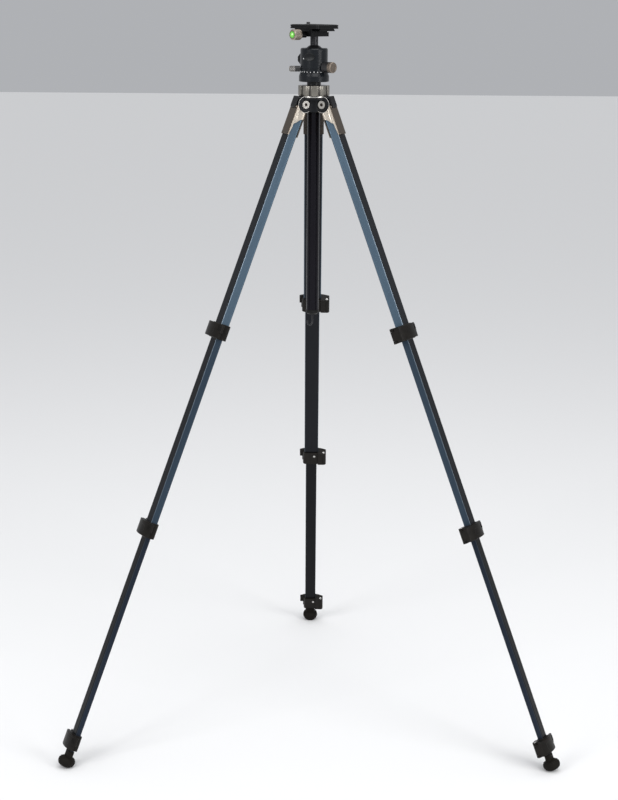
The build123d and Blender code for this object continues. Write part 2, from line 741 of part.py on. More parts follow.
foot_height = clamp_base_top + dovetail_rest
neck_half_width = dovetail_half_width - dovetail_undercut
dovetail_slope = dovetail_undercut / (plate_bottom - foot_height)
lip_half_width = dovetail_half_width - dovetail_slope * (clamp_top - foot_height)
jaw_inner = clamp_half_length - jaw_thickness
clamp_direction = Axis((0, 0, 0), polar(1, clamp_azimuth))
with BuildPart() as clamp_body:
    add(prism((-clamp_half_length, stem_top), (jaw_inner - jaw_gap, stem_top),
              (jaw_inner - jaw_gap, clamp_base_top),
              (-dovetail_half_width - jaw_gap, clamp_base_top), (-lip_half_width - jaw_gap, clamp_top),
              (-clamp_half_length, clamp_top)))
    chamfer(clamp_body.edges().filter_by(Axis.Z).sort_by(clamp_direction)[:2], jaw_bevel)
    with BuildSketch(clamp_level(stem_top)) as spigot_hole:
        Circle(spigot_radius + pivot_fit)
    extrude(amount=spigot_length + 0.3, mode=Mode.SUBTRACT)
    with BuildSketch(clamp_axis_plane(spigot_radius + 1.5)) as screw_hole:
        Circle(knob_screw_radius + pivot_fit)
    extrude(amount=clamp_half_length, mode=Mode.SUBTRACT)
save(clamp_body.part, "clamp_body")

with BuildPart() as clamp_jaw:
    add(prism((jaw_inner, stem_top), (clamp_half_length, stem_top), (clamp_half_length, clamp_top),
              (lip_half_width + jaw_gap, clamp_top), (dovetail_half_width + jaw_gap, clamp_base_top),
              (jaw_inner, clamp_base_top)))
    chamfer(clamp_jaw.edges().filter_by(Axis.Z).sort_by(clamp_direction)[-2:], jaw_bevel)
    with BuildSketch(clamp_axis_plane(jaw_inner - 1)) as jaw_hole:
        Circle(knob_screw_radius + pivot_fit)
    extrude(amount=jaw_thickness + 2, mode=Mode.SUBTRACT)
save(clamp_jaw.part, "clamp_jaw")

knob_start = clamp_half_length + clamp_knob_gap
knob_end = knob_start + clamp_neck_length + clamp_knob_length
with BuildPart() as clamp_knob:
    with BuildSketch(clamp_axis_plane(spigot_radius + 2.0)) as screw:
        Circle(knob_screw_radius)
    extrude(amount=knob_start - spigot_radius - 2.0)
    with BuildSketch(clamp_axis_plane(knob_start)) as neck:
        Circle(clamp_neck_radius)
    extrude(amount=clamp_neck_length)
    with BuildSketch(clamp_axis_plane(knob_start + clamp_neck_length)) as grip:
        Circle(clamp_knob_radius)
    extrude(amount=clamp_knob_length)
    ends = clamp_knob.faces().sort_by(clamp_direction)
    chamfer(ends[-1].edges(), 1.4)
    with BuildSketch(clamp_axis_plane(knob_start + clamp_neck_length + 2)) as grip_cuts:
        with PolarLocations(clamp_knob_radius + 0.6, clamp_knob_grooves):
            Circle(1.1)
    extrude(amount=clamp_knob_length - 5, mode=Mode.SUBTRACT)
    with BuildSketch(clamp_axis_plane(knob_end - level_depth)) as level_seat:
        Circle(level_radius)
    extrude(amount=level_depth, mode=Mode.SUBTRACT)
save(clamp_knob.part, "clamp_knob")

with BuildPart() as knob_level:
    with BuildSketch(clamp_axis_plane(knob_end - level_depth)) as vial:
        Circle(level_radius - 0.02)
    extrude(amount=level_depth + 0.8)
    fillet(knob_level.faces().sort_by(clamp_direction)[-1].edges(), 0.7)
save(knob_level.part, "knob_level")

# Quick-release plate, dovetail downwards, with a slot that the camera screw slides in
with BuildPart() as plate:
    with BuildSketch(clamp_level(plate_bottom)) as slab:
        RectangleRounded(plate_width, plate_length, 4.0)
    extrude(amount=plate_top - plate_bottom)
    chamfer(plate.faces().sort_by(Axis.Z)[-1].edges(), 0.6)
    with BuildSketch(clamp_level((plate_bottom + plate_top) / 2 - 0.6)) as side_groove:
        Rectangle(2 * plate_width, 2 * plate_length)
        RectangleRounded(plate_width - 2 * plate_groove, plate_length - 2 * plate_groove, 3.0,
                         mode=Mode.SUBTRACT)
    extrude(amount=1.2, mode=Mode.SUBTRACT)
    with BuildSketch(clamp_section(plate_length / 2 - 3)) as dovetail:
        with BuildLine():
            Polyline((-dovetail_half_width, foot_height), (dovetail_half_width, foot_height),
                     (neck_half_width, plate_bottom), (-neck_half_width, plate_bottom), close=True)
        make_face()
    extrude(amount=plate_length - 6)
    with BuildSketch(clamp_level(foot_height)) as screw_slot:
        with Locations((0, 0)):
            SlotOverall(2 * screw_slot_half, 2 * (screw_radius + screw_fit), rotation=90)
    extrude(amount=2 * (plate_top - foot_height), mode=Mode.SUBTRACT)
    with BuildSketch(clamp_level(foot_height)) as head_slot:
        SlotOverall(2 * (screw_slot_half + screw_head_radius - screw_radius),
                    2 * (screw_head_radius + screw_fit), rotation=90)
    extrude(amount=screw_head_height + 0.6, mode=Mode.SUBTRACT)
save(plate.part, "quick_release_plate")

screw_place = (0, -screw_offset)
with BuildPart() as camera_screw:
    with BuildSketch(clamp_level(foot_height + 0.3)) as screw_head:
        with Locations(screw_place):
            Circle(screw_head_radius)
    extrude(amount=screw_head_height)
    with BuildSketch(clamp_level(foot_height + 0.3)) as screw_neck:
        with Locations(screw_place):
            Circle(screw_neck_radius)
    extrude(amount=plate_top - foot_height - 0.3)
    with BuildSketch(clamp_level(plate_top)) as screw_thread:
        with Locations(screw_place):
            Circle(screw_radius)
    extrude(amount=screw_length)
    chamfer(camera_screw.faces().sort_by(Axis.Z)[-1].edges(), 0.5)
save(camera_screw.part, "camera_screw")
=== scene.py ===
import json
import math
import bpy
from mathutils import Matrix, Vector

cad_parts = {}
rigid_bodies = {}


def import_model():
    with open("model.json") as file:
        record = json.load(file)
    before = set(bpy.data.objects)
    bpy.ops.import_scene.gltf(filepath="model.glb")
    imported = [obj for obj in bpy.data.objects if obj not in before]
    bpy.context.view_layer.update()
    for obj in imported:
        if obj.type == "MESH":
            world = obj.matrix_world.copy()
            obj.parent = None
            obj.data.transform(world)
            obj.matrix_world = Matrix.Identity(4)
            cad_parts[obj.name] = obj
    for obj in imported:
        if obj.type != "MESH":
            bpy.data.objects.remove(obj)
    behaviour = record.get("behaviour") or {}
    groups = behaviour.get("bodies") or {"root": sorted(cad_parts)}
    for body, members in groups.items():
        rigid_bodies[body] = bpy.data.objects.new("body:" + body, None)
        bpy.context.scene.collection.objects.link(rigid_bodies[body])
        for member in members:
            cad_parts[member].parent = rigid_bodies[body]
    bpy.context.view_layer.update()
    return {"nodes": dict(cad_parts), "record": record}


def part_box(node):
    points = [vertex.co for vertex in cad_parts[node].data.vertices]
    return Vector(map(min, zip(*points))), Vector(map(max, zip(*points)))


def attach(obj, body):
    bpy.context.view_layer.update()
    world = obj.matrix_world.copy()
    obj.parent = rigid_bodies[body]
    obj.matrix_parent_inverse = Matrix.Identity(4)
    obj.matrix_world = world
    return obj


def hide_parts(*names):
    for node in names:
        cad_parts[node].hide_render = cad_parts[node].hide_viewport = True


bpy.ops.object.select_all(action="SELECT")  # an empty scene first
bpy.ops.object.delete()
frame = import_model()
nodes = frame["nodes"]
record = frame["record"]
joints = {joint["name"]: joint for joint in record["behaviour"]["joints"]}
print("frame loaded,", len(nodes), "nodes")

mm = 0.001
up = Vector((0, 0, 1))
# the column's axis, with heights counted from the leg pivots
columnAxis = Matrix.Translation((0, 0, joints["rear_leg_fold"]["pos_m"][2]))


# Shader maths: a wire is one socket, and an expression on wires adds its Math nodes

class Wire:
    def __init__(self, paint, socket):
        self.paint = paint
        self.socket = socket

    def math(self, operation, first, second=0.0, third=0.0):
        return self.paint.node("ShaderNodeMath", {"operation": operation}, {0: first, 1: second, 2: third})

    def __add__(self, other):
        return self.math("ADD", self, other)

    def __radd__(self, other):
        return self.math("ADD", other, self)

    def __sub__(self, other):
        return self.math("SUBTRACT", self, other)

    def __rsub__(self, other):
        return self.math("SUBTRACT", other, self)

    def __mul__(self, other):
        return self.math("MULTIPLY", self, other)

    def __rmul__(self, other):
        return self.math("MULTIPLY", other, self)

    def __truediv__(self, other):
        return self.math("DIVIDE", self, other)

    def __rtruediv__(self, other):
        return self.math("DIVIDE", other, self)

    def __pow__(self, other):
        return self.math("POWER", self, other)

    def __abs__(self):
        return self.math("ABSOLUTE", self)


class Paint:
    def __init__(self, name, colour, roughness, metallic=0.0, **constants):
        self.material = bpy.data.materials.new(name)
        self.material.use_nodes = True
        self.tree = self.material.node_tree
        self.shader = self.tree.nodes["Principled BSDF"]
        self.colour = colour
        self.set("Base Color", (*colour, 1.0))
        self.set("Roughness", roughness)
        self.set("Metallic", metallic)
        for socket, value in constants.items():
            self.set(socket.replace("_", " "), value)
        self.place = self.node("ShaderNodeTexCoord", {}, {}, "Object")
        self.facing = self.node("ShaderNodeTexCoord", {}, {}, "Normal")

    def set(self, socket, value):
        self.plug(self.shader.inputs[socket], value)

    def plug(self, socket, value):
        if isinstance(value, Wire):
            self.tree.links.new(value.socket, socket)
        else:
            socket.default_value = value

    def node(self, kind, settings, inputs, output=0):
        new = self.tree.nodes.new(kind)
        for setting, value in settings.items():
            setattr(new, setting, value)
        for socket, value in inputs.items():
            self.plug(new.inputs[socket], value)
        return Wire(self, new.outputs[output])

    def along(self, vector, direction):
        settings = {"operation": "DOT_PRODUCT"}
        return self.node("ShaderNodeVectorMath", settings, {0: vector, 1: tuple(direction)}, "Value")

    def fromPoint(self, point):
        return self.node("ShaderNodeVectorMath", {"operation": "SUBTRACT"}, {0: self.place, 1: tuple(point)})

    def size(self, vector):
        return self.node("ShaderNodeVectorMath", {"operation": "LENGTH"}, {0: vector}, "Value")

    def offAxis(self, vector, depth):
        # how far a vector's end is from an axis, from its depth along that axis
        length = self.size(vector)
        return (length * length - depth * depth + 1e-9) ** 0.5

    def joined(self, x, y, z):
        return self.node("ShaderNodeCombineXYZ", {}, {0: x, 1: y, 2: z})

    def noise(self, vector, scale, detail=2.0, roughness=0.5):
        inputs = {"Vector": vector, "Scale": scale, "Detail": detail, "Roughness": roughness}
        return self.node("ShaderNodeTexNoise", {}, inputs)

    def ramp(self, value, low, high, first=0.0, second=1.0):
        inputs = {"Value": value, "From Min": low, "From Max": high, "To Min": first, "To Max": second}
        return self.node("ShaderNodeMapRange", {"interpolation_type": "SMOOTHSTEP"}, inputs)

    def mix(self, factor, first, second):
        first, second = [(*c, 1.0) if isinstance(c, tuple) else c for c in (first, second)]
        return self.node("ShaderNodeMix", {"data_type": "RGBA"}, {0: factor, 6: first, 7: second}, 2)

    def bump(self, height, distance, strength=1.0):
        inputs = {"Height": height, "Distance": distance, "Strength": strength}
        self.set("Normal", self.node("ShaderNodeBump", {}, inputs))


def shade(colour, amount):
    return tuple(channel * amount for channel in colour)


def grained(name, colour, roughness, metallic=0.0, grain=0.12, size=900.0, **constants):
    # a moulded or cast surface: fine grain in the relief, slow patches in colour and gloss
    paint = Paint(name, colour, roughness, metallic, **constants)
    patches = paint.noise(paint.place, 60.0, 3.0)
    fine = paint.noise(paint.place, size, 4.0, 0.6)
    spots = paint.ramp(patches, 0.35, 0.65)
    paint.set("Base Color", paint.mix(spots, shade(colour, 0.86), shade(colour, 1.14)))
    paint.set("Roughness", patches * 0.12 + fine * 0.06 + (roughness - 0.09))
    paint.bump(fine, grain * mm)
    return paint


def turned(name, colour, roughness, metallic, axis, centre, lines=2600.0, **constants):
    # a lathe-cut surface: fine rings round an axis
    paint = Paint(name, colour, roughness, metallic, **constants)
    fromCentre = paint.fromPoint(centre)
    depth = paint.along(fromCentre, axis)
    radius = paint.offAxis(fromCentre, depth)
    rings = paint.noise(paint.joined(radius * lines, depth * lines, 0.0), 1.0, 2.0)
    patches = paint.noise(paint.place, 45.0, 3.0)
    paint.set("Base Color", paint.mix(rings * 0.6 + patches * 0.4, shade(colour, 0.82), shade(colour, 1.16)))
    paint.set("Roughness", rings * 0.14 + patches * 0.08 + (roughness - 0.11))
    paint.bump(rings, 0.02 * mm)
    return paint


class LegFrame:
    # x out of the leg, y along its pivot bolt, z up it
    def __init__(self, name):
        self.name = name
        fold = joints[f"{name}_leg_fold"]
        self.pivot = Vector(fold["pos_m"])
        self.across = -Vector(fold["axis"]).normalized()
        self.up = -Vector(joints[f"{name}_section_2_slide"]["axis"]).normalized()
        self.out = self.across.cross(self.up)
        self.locks = [Vector(joints[f"{name}_lever_{number}_flip"]["pos_m"]) for number in (1, 2, 3)]

    def at(self, origin):
        turn = Matrix((self.out, self.across, self.up)).transposed().to_4x4()
        return Matrix.Translation(origin) @ turn


legs = [LegFrame(name) for name in ("rear", "left", "right")]
offset = 5.5 * mm  # leg centreline outside the pivot bolt
lockBodies = ["leg", "section_2", "section_3"]


def lockSize(leg, number):
    # a lock's half width towards the column and its depth, from where its lever pin stands
    pin = leg.locks[number] - (leg.pivot + leg.out * offset)
    return -pin.dot(leg.across) - 10 * mm, 2 * (-pin.dot(leg.out) - 0.3 * mm)


# Materials of the CAD nodes

legPaint = {
    # the slanted sides' colour is the anodising as lit, the flats' colour is painted shade, and the edge colour
    # is a painted highlight along the outer corners
    "sides": [(0.098, 0.152, 0.208), (0.040, 0.064, 0.094), (0.016, 0.023, 0.038), (0.013, 0.018, 0.029)],
    "faces": [(0.013, 0.0145, 0.018), (0.0085, 0.0088, 0.0112),
              (0.0055, 0.0050, 0.0056), (0.0050, 0.0046, 0.0052)],
    "edges": [(0.24, 0.30, 0.36), (0.11, 0.14, 0.17), (0.045, 0.055, 0.065), (0.040, 0.048, 0.058)],
    "line": (0.35, 0.40, 0.46),
    "roughness": 0.34,
    "lines": 2400.0,
    "metallic": 0.75,
}


def tubePaint(leg, number):
    # drawn and anodised: lines run down the leg; the slanted sides are painted in the lit colour and the flats
    # in painted shade, with a painted highlight along the outer corners
    side = legPaint["sides"][number]
    shadedFlat = legPaint["faces"][number]
    paint = Paint(f"{leg.name} leg anodising {number + 1}", side, legPaint["roughness"], legPaint["metallic"],
                  Specular_IOR_Level=0.3)
    acrossLeg = paint.along(paint.place, leg.across)
    outOfLeg = paint.along(paint.place, leg.out)
    downLeg = paint.along(paint.place, leg.up)
    thin = legPaint["lines"]
    lines = paint.noise(paint.joined(acrossLeg * thin, outOfLeg * thin, downLeg * 9.0), 1.0, 3.0)
    patches = paint.noise(paint.joined(acrossLeg * 30.0, outOfLeg * 30.0, downLeg * 7.0), 1.0, 3.0)
    sideways = abs(paint.along(paint.facing, leg.across))
    # painted light and shade: the slanted sides take the lit colour, the flats the shaded one
    litSide = paint.ramp(sideways, 0.45, 0.85)
    outward = paint.ramp(paint.along(paint.facing, leg.out), 0.0, 0.2)
    # painted highlight on the outer corners
    cornerHighlight = paint.ramp(sideways, 0.50, 0.72) * paint.ramp(sideways, 0.90, 0.76) * outward
    plain = paint.mix(cornerHighlight, paint.mix(litSide, shadedFlat, side), legPaint["edges"][number])
    dark = paint.mix(0.22, plain, (0.0, 0.0, 0.0))
    light = paint.mix(0.03, plain, legPaint["line"])
    paint.set("Base Color", paint.mix(lines * 0.55 + patches * 0.45, dark, light))
    paint.set("Roughness", lines * 0.16 + patches * 0.10 + (legPaint["roughness"] - 0.13))
    paint.bump(lines, 0.015 * mm)
    return paint


def lockPaint(leg, number):
    # moulded plastic with a blank sunk panel on the lever's crown and fine mould grain
    colour = (0.0072, 0.0060, 0.0048)
    paint = Paint(f"{leg.name} lock plastic {number + 1}", colour, 0.46, Specular_IOR_Level=0.16)
    halfWidth, depth = lockSize(leg, number)
    middle = leg.locks[number] + leg.out * (depth / 2) + leg.across * (halfWidth + 6 * mm)
    local = paint.fromPoint(middle)
    acrossLock = paint.along(local, leg.across) / (9.5 * mm)
    upLock = paint.along(local, leg.up) / (6.5 * mm)
    fine = paint.noise(paint.place, 1300.0, 4.0, 0.6)
    patches = paint.noise(paint.place, 70.0, 3.0)
    panel = paint.ramp((acrossLock ** 2) ** 2 + (upLock ** 2) ** 2, 0.86, 1.0)
    crown = paint.ramp(paint.along(paint.facing, leg.out), 0.7, 0.8)
    sunk = 1.0 - (1.0 - panel) * crown
    spots = paint.ramp(patches, 0.3, 0.7)
    paint.set("Base Color", paint.mix(spots, shade(colour, 0.85), shade(colour, 1.2)))
    paint.set("Roughness", patches * 0.12 + fine * 0.08 + 0.30)
    paint.bump(fine * 0.12 + sunk * 0.6, 0.5 * mm)
    return paint


casting = {
    "colour": (0.60, 0.54, 0.46),
    # outer: painted shade on the outer strip; inner and shadow: painted shadow under the arch, on the front and
    # on the rear legs
    "outer": (0.120, 0.098, 0.078),
    "inner": (0.165, 0.112, 0.070),
    "shadow": (0.035, 0.030, 0.026),
    "worn": (0.08, 0.07, 0.06),
    "archWidth": 15.3 * mm,
    "archHeight": 34.6 * mm,
    "archFoot": 62.0 * mm,
    "cutLength": 60.0 * mm,
    "tubeFace": -7.3 * mm,  # the leg tube's column side, from the leg's centreline
}


def castingPaint(leg):
    # champagne anodising, with painted shade on the outer strip and painted shadow on the faces under the arch
    paint = Paint(f"{leg.name} champagne casting", casting["colour"], 0.30, 0.8)
    fine = paint.noise(paint.place, 1100.0, 4.0, 0.6)
    patches = paint.noise(paint.place, 55.0, 3.0)
    outward = paint.along(paint.facing, leg.out)
    depth = paint.along(paint.place, leg.out) - leg.pivot.dot(leg.out)
    tubeFace = offset + casting["tubeFace"]
    # painted shade on the outward faces of the outer strip
    outside = paint.ramp(outward, 0.55, 0.85) * paint.ramp(depth, offset, offset + 4 * mm)
    # painted shadow on the faces under the arch, near black on the rear leg
    inside = paint.ramp(depth, tubeFace + 0.5 * mm, tubeFace - 0.5 * mm)
    archShadow = casting["inner"] if leg.name != "rear" else casting["shadow"]
    body = paint.mix(inside, paint.mix(outside, casting["colour"], casting["outer"]), archShadow)
    worn = paint.mix(0.25, body, casting["worn"])
    paint.set("Base Color", paint.mix(patches * 0.5 + fine * 0.2, body, worn))
    paint.set("Roughness", patches * 0.12 + fine * 0.10 + 0.22)
    paint.bump(fine, 0.03 * mm)
    return paint


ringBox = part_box("column_lock_ring")


# dark: painted shade for the grooves between the lobes
grip = {"lobes": 10, "first": 290.6, "bore": 19.2 * mm, "hole": 11.7 * mm, "web": 3.0 * mm,
        "dark": (0.035, 0.032, 0.030), "steps": [(7.0, 0.985), (5.0, 0.982), (3.2, 0.978)]}


def ringPaint():
    # turned pewter, with painted shade in the grooves between its lobes
    colour = (0.235, 0.222, 0.195)
    middle = (ringBox[0] + ringBox[1]) / 2
    paint = turned("pewter lock ring", colour, 0.30, 0.85, up, middle)
    y = paint.along(paint.place, (0, 1, 0))
    turn = y.math("ARCTAN2", y, paint.along(paint.place, (1, 0, 0)))
    wave = turn.math("COSINE", (turn - math.radians(grip["first"])) * grip["lobes"])
    away = paint.offAxis(paint.place, paint.along(paint.place, up))
    # painted shade in the grooves
    grooveShade = paint.ramp(wave, 0.72, 0.95) * paint.ramp(away, 20.5 * mm, 22.0 * mm)
    grain = paint.noise(paint.place, 300.0, 3.0)
    lobe = paint.mix(grain, shade(colour, 0.85), shade(colour, 1.15))
    paint.set("Base Color", paint.mix(grooveShade, lobe, grip["dark"]))
    return paint


headCentre = columnAxis.translation + up * 80 * mm
slotPaints = {
    "rubber": grained("foot rubber", (0.0066, 0.0054, 0.0040), 0.66,
                      grain=0.3, size=420.0, Specular_IOR_Level=0.12),
    "latch": grained("black latch", (0.006, 0.006, 0.007), 0.34,
                     grain=0.05, size=1500.0, Specular_IOR_Level=0.25),
    "bolt_steel": turned("turned steel", (0.60, 0.59, 0.57), 0.26, 1.0, up, headCentre, 1800.0),
    "spider": grained("black painted casting", (0.0050, 0.0056, 0.0072), 0.32,
                      grain=0.06, size=1500.0, Specular_IOR_Level=0.22),
    "black_plastic": grained("black moulding", (0.006, 0.006, 0.006), 0.48,
                             grain=0.15, Specular_IOR_Level=0.18),
    "ring": ringPaint(),
    "head": turned("black anodised head", (0.0042, 0.0058, 0.0080), 0.24, 0.0,
                   up, headCentre, 1500.0, Specular_IOR_Level=0.32),
    "ball": turned("dark coated ball", (0.035, 0.035, 0.038), 0.30, 0.8, up, headCentre, 1200.0),
    "knob_rubber": grained("knob grip rubber", (0.005, 0.005, 0.006), 0.58,
                           grain=0.35, size=700.0, Specular_IOR_Level=0.18),
    "knob": grained("knob moulding", (0.008, 0.008, 0.009), 0.38,
                    grain=0.1, Specular_IOR_Level=0.25),
    "clamp": grained("black anodised clamp", (0.0045, 0.0046, 0.0052), 0.32,
                     grain=0.05, size=1600.0, Specular_IOR_Level=0.2),
    "plate": grained("black anodised plate", (0.0050, 0.0054, 0.0060), 0.34,
                     grain=0.05, size=1600.0, Specular_IOR_Level=0.2),
}


def columnPaint():
    # near-black anodising with drawn lines down the column
    colour = (0.0075, 0.0068, 0.0100)
    paint = Paint("black anodised column", colour, 0.25, 0.6, Specular_IOR_Level=0.3)
    stretch = {0: paint.place, 1: (2600.0, 2600.0, 8.0)}
    lines = paint.noise(paint.node("ShaderNodeVectorMath", {"operation": "MULTIPLY"}, stretch), 1.0, 3.0)
    paint.set("Base Color", paint.mix(lines, shade(colour, 0.8), shade(colour, 1.5)))
    paint.set("Roughness", lines * 0.14 + 0.18)
    paint.bump(lines, 0.012 * mm)
    return paint


def bronzePaint(name, axis, centre):
    return turned(name, (0.36, 0.30, 0.24), 0.30, 0.85, axis, centre, 2000.0)


knobAxis = Vector(joints["clamp_knob_turn"]["axis"])
knobPlace = Vector(joints["clamp_knob_turn"]["pos_m"])
blackMoulding = (0.014, 0.014, 0.015)
slotPaints["column"] = columnPaint()
slotPaints["bronze_knob"] = bronzePaint("bronze clamp knob", knobAxis, knobPlace)


def clampKnobPaint():
    # black neck and champagne grip
    paint = bronzePaint("clamp knob finish", knobAxis, knobPlace)
    reach = paint.along(paint.place, knobAxis)
    metal = paint.ramp(reach, 36.2 * mm, 36.6 * mm)
    fine = paint.noise(paint.place, 900.0, 3.0)
    grip = paint.mix(fine, (0.28, 0.235, 0.19), (0.44, 0.385, 0.325))
    paint.set("Base Color", paint.mix(metal, blackMoulding, grip))
    return paint


def levelPaint():
    # green spirit behind a clear lens, with a painted glow: brighter towards its middle
    colour = (0.18, 0.72, 0.06)
    paint = Paint("green level vial", colour, 0.08, 0.0, Coat_Weight=0.8, Coat_Roughness=0.03)
    lowest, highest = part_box("knob_level")
    centre = (lowest + highest) / 2
    away = paint.size(paint.fromPoint(centre))
    # painted light: the spirit lighter at the middle and darker towards the rim
    edge = paint.ramp(away, 2.5 * mm, 6.2 * mm)
    glow = paint.ramp(away, 2.5 * mm, 6.0 * mm)
    paint.set("Base Color", paint.mix(edge, (0.30, 0.85, 0.12), (0.05, 0.30, 0.02)))
    # painted glow: a faint emission, brightest at the middle, though there is no lamp in it
    paint.set("Emission Color", paint.mix(glow, (0.25, 0.8, 0.1), (0.02, 0.2, 0.01)))
    paint.set("Emission Strength", 0.25)
    return paint


slotPaints["level"] = levelPaint()


def wear(node, paint):
    node.data.materials.clear()
    node.data.materials.append(paint.material)


def boltPaint():
    # bright turned heads with painted shade in their sockets
    paint = turned("pivot bolt steel", (0.52, 0.50, 0.46), 0.24, 1.0, up, headCentre, 1800.0)
    bright = None
    for leg in legs:
        fromPivot = paint.fromPoint(leg.pivot)
        radius = paint.offAxis(fromPivot, paint.along(fromPivot, leg.across))
        clear = paint.ramp(radius, 2.7 * mm, 3.1 * mm)
        bright = clear if bright is None else bright * clear
    rings = paint.noise(paint.place, 700.0, 2.0)
    steel = paint.mix(rings, (0.42, 0.40, 0.36), (0.62, 0.60, 0.56))
    # painted shade: near-black inside each socket
    paint.set("Base Color", paint.mix(bright, (0.05, 0.04, 0.035), steel))
    return paint


def knobPaint(name, azimuth, height, start, dark, light):
    # black moulding with a knurled metal end, its knurl painted in light and dark stripes as painted highlight
    # and shade
    outward = Vector((math.cos(math.radians(azimuth)), math.sin(math.radians(azimuth)), 0))
    paint = Paint(name, blackMoulding, 0.34)
    reach = paint.along(paint.place, outward)
    sideways = paint.along(paint.place, up.cross(outward))
    rise = paint.along(paint.place, up) - (columnAxis.translation.z + height * mm)
    turn = rise.math("ARCTAN2", rise, sideways)
    knurl = turn.math("SINE", turn * 36.0) * 0.5 + 0.5
    metal = paint.ramp(reach, start * mm, (start + 0.5) * mm)
    # painted highlight on the knurl ridges and painted shade between them
    paint.set("Base Color", paint.mix(metal, blackMoulding, paint.mix(knurl, dark, light)))
    paint.set("Metallic", metal * 0.85)
    paint.bump(knurl * metal, 0.3 * mm)
    return paint


slotOf = {part["node"]: part["material_slot"] for part in record["subparts"]}
legPaints = {}
for leg in legs:
    for number in range(4):
        legPaints[f"{leg.name}_tube_{number + 1}"] = tubePaint(leg, number)
    for number in range(3):
        plastic = lockPaint(leg, number)
        legPaints[f"{leg.name}_lock_{number + 1}_collar"] = plastic
        legPaints[f"{leg.name}_lock_{number + 1}_lever"] = plastic
    legPaints[f"{leg.name}_shoulder"] = castingPaint(leg)
legPaints["leg_pivot_bolts"] = boltPaint()
legPaints["clamp_knob"] = clampKnobPaint()
legPaints["camera_screw"] = grained("blackened screw steel", (0.06, 0.06, 0.062), 0.32, 0.9, grain=0.03)
legPaints["ballast_hook"] = grained("blackened hook steel", (0.035, 0.035, 0.038), 0.34, 0.8, grain=0.04)
frictionKnob = {"azimuth": -42.0, "height": 64.9}
panKnob = {"azimuth": 180.0, "height": 61.4}
legPaints["friction_knob"] = knobPaint("friction knob finish", **frictionKnob, start=38.0,
                                       dark=(0.13, 0.105, 0.08), light=(0.36, 0.30, 0.25))
legPaints["pan_lock_knob"] = knobPaint("pan knob finish", **panKnob, start=33.0,
                                       dark=(0.13, 0.125, 0.12), light=(0.34, 0.33, 0.32))
for name, node in nodes.items():
    wear(node, legPaints.get(name) or slotPaints[slotOf[name]])
print("CAD nodes painted")


# Modelling helpers. Each piece is modelled at the origin and then put in its place.

def deselect():
    bpy.ops.object.select_all(action="DESELECT")


def choose(obj):
    # makes it the one selected object, and the active one
    deselect()
    obj.select_set(True)
    bpy.context.view_layer.objects.active = obj


def edit(obj):
    choose(obj)
    bpy.ops.object.mode_set(mode="EDIT")
    bpy.ops.mesh.select_mode(type="FACE")
    bpy.ops.mesh.select_all(action="DESELECT")


def applyTransform():
    bpy.ops.object.transform_apply(location=True, rotation=True, scale=True)


def cube(size):
    deselect()
    bpy.ops.mesh.primitive_cube_add(size=1)
    bpy.context.object.scale = size
    applyTransform()
    return bpy.context.object


def remove(obj):
    choose(obj)
    bpy.ops.object.delete()


def joinedUp(objects):
    # joins them into the first
    choose(objects[0])
    for obj in objects:
        obj.select_set(True)
    bpy.ops.object.join()
    return objects[0]


def pick(obj, test):
    # selects the faces whose middle and normal pass a test, in edit mode
    bpy.ops.object.mode_set(mode="OBJECT")
    for face in obj.data.polygons:
        face.select = test(face.center, face.normal)
    bpy.ops.object.mode_set(mode="EDIT")


def disc(radius, depth, sides=48):
    # a disc standing on the origin, its front face at the top
    deselect()
    bpy.ops.mesh.primitive_cylinder_add(vertices=sides, radius=radius, depth=depth, location=up * depth / 2)
    applyTransform()
    return bpy.context.object


def inset(obj, test, thickness, depth=0.0):
    pick(obj, test)
    bpy.ops.mesh.inset(thickness=thickness, depth=depth)


def opened(obj, width):
    # a disc opened into a ring of this width
    inset(obj, lambda centre, normal: abs(normal.z) > 0.9, width)
    pick(obj, lambda centre, normal: abs(normal.z) > 0.9 and centre.xy.length < 0.2 * mm)
    bpy.ops.mesh.bridge_edge_loops()


def finishEdges(obj, width, segments=2, angle=30):
    bpy.ops.object.mode_set(mode="OBJECT")
    bevel = obj.modifiers.new("edges", "BEVEL")
    bevel.width = width
    bevel.segments = segments
    bevel.limit_method = "ANGLE"
    bevel.angle_limit = math.radians(angle)
    choose(obj)
    bpy.ops.object.modifier_apply(modifier=bevel.name)
    bpy.ops.object.shade_smooth_by_angle(angle=math.radians(40))


def place(obj, matrix):
    choose(obj)
    obj.matrix_world = matrix
    applyTransform()


def copyOf(obj):
    choose(obj)
    bpy.ops.object.duplicate()
    return bpy.context.object


def done(obj, name, body, paint):
    obj.name = name
    obj.data.name = name
    wear(obj, paint)
    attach(obj, body)


def spread(pattern, places, name, paint):
    # one modelled pattern at several places, each copy with its own mesh
    for number, (matrix, body) in enumerate(places):
        obj = copyOf(pattern)
        place(obj, matrix)
        done(obj, f"{name}{number + 1}", body, paint)
    remove(pattern)


def facingOut(azimuth, height, reach):
    # x level, y up, z outwards at an azimuth round the column, at a height above the pivots
    angle = math.radians(azimuth)
    outward = Vector((math.cos(angle), math.sin(angle), 0))
    turn = Matrix((up.cross(outward), up, outward)).transposed().to_4x4()
    return Matrix.Translation(columnAxis.translation + outward * reach * mm + up * height * mm) @ turn


def front(centre, normal):
    return normal.z > 0.9


def frontMiddle(centre, normal):
    return normal.z > 0.9 and centre.xy.length < 0.2 * mm


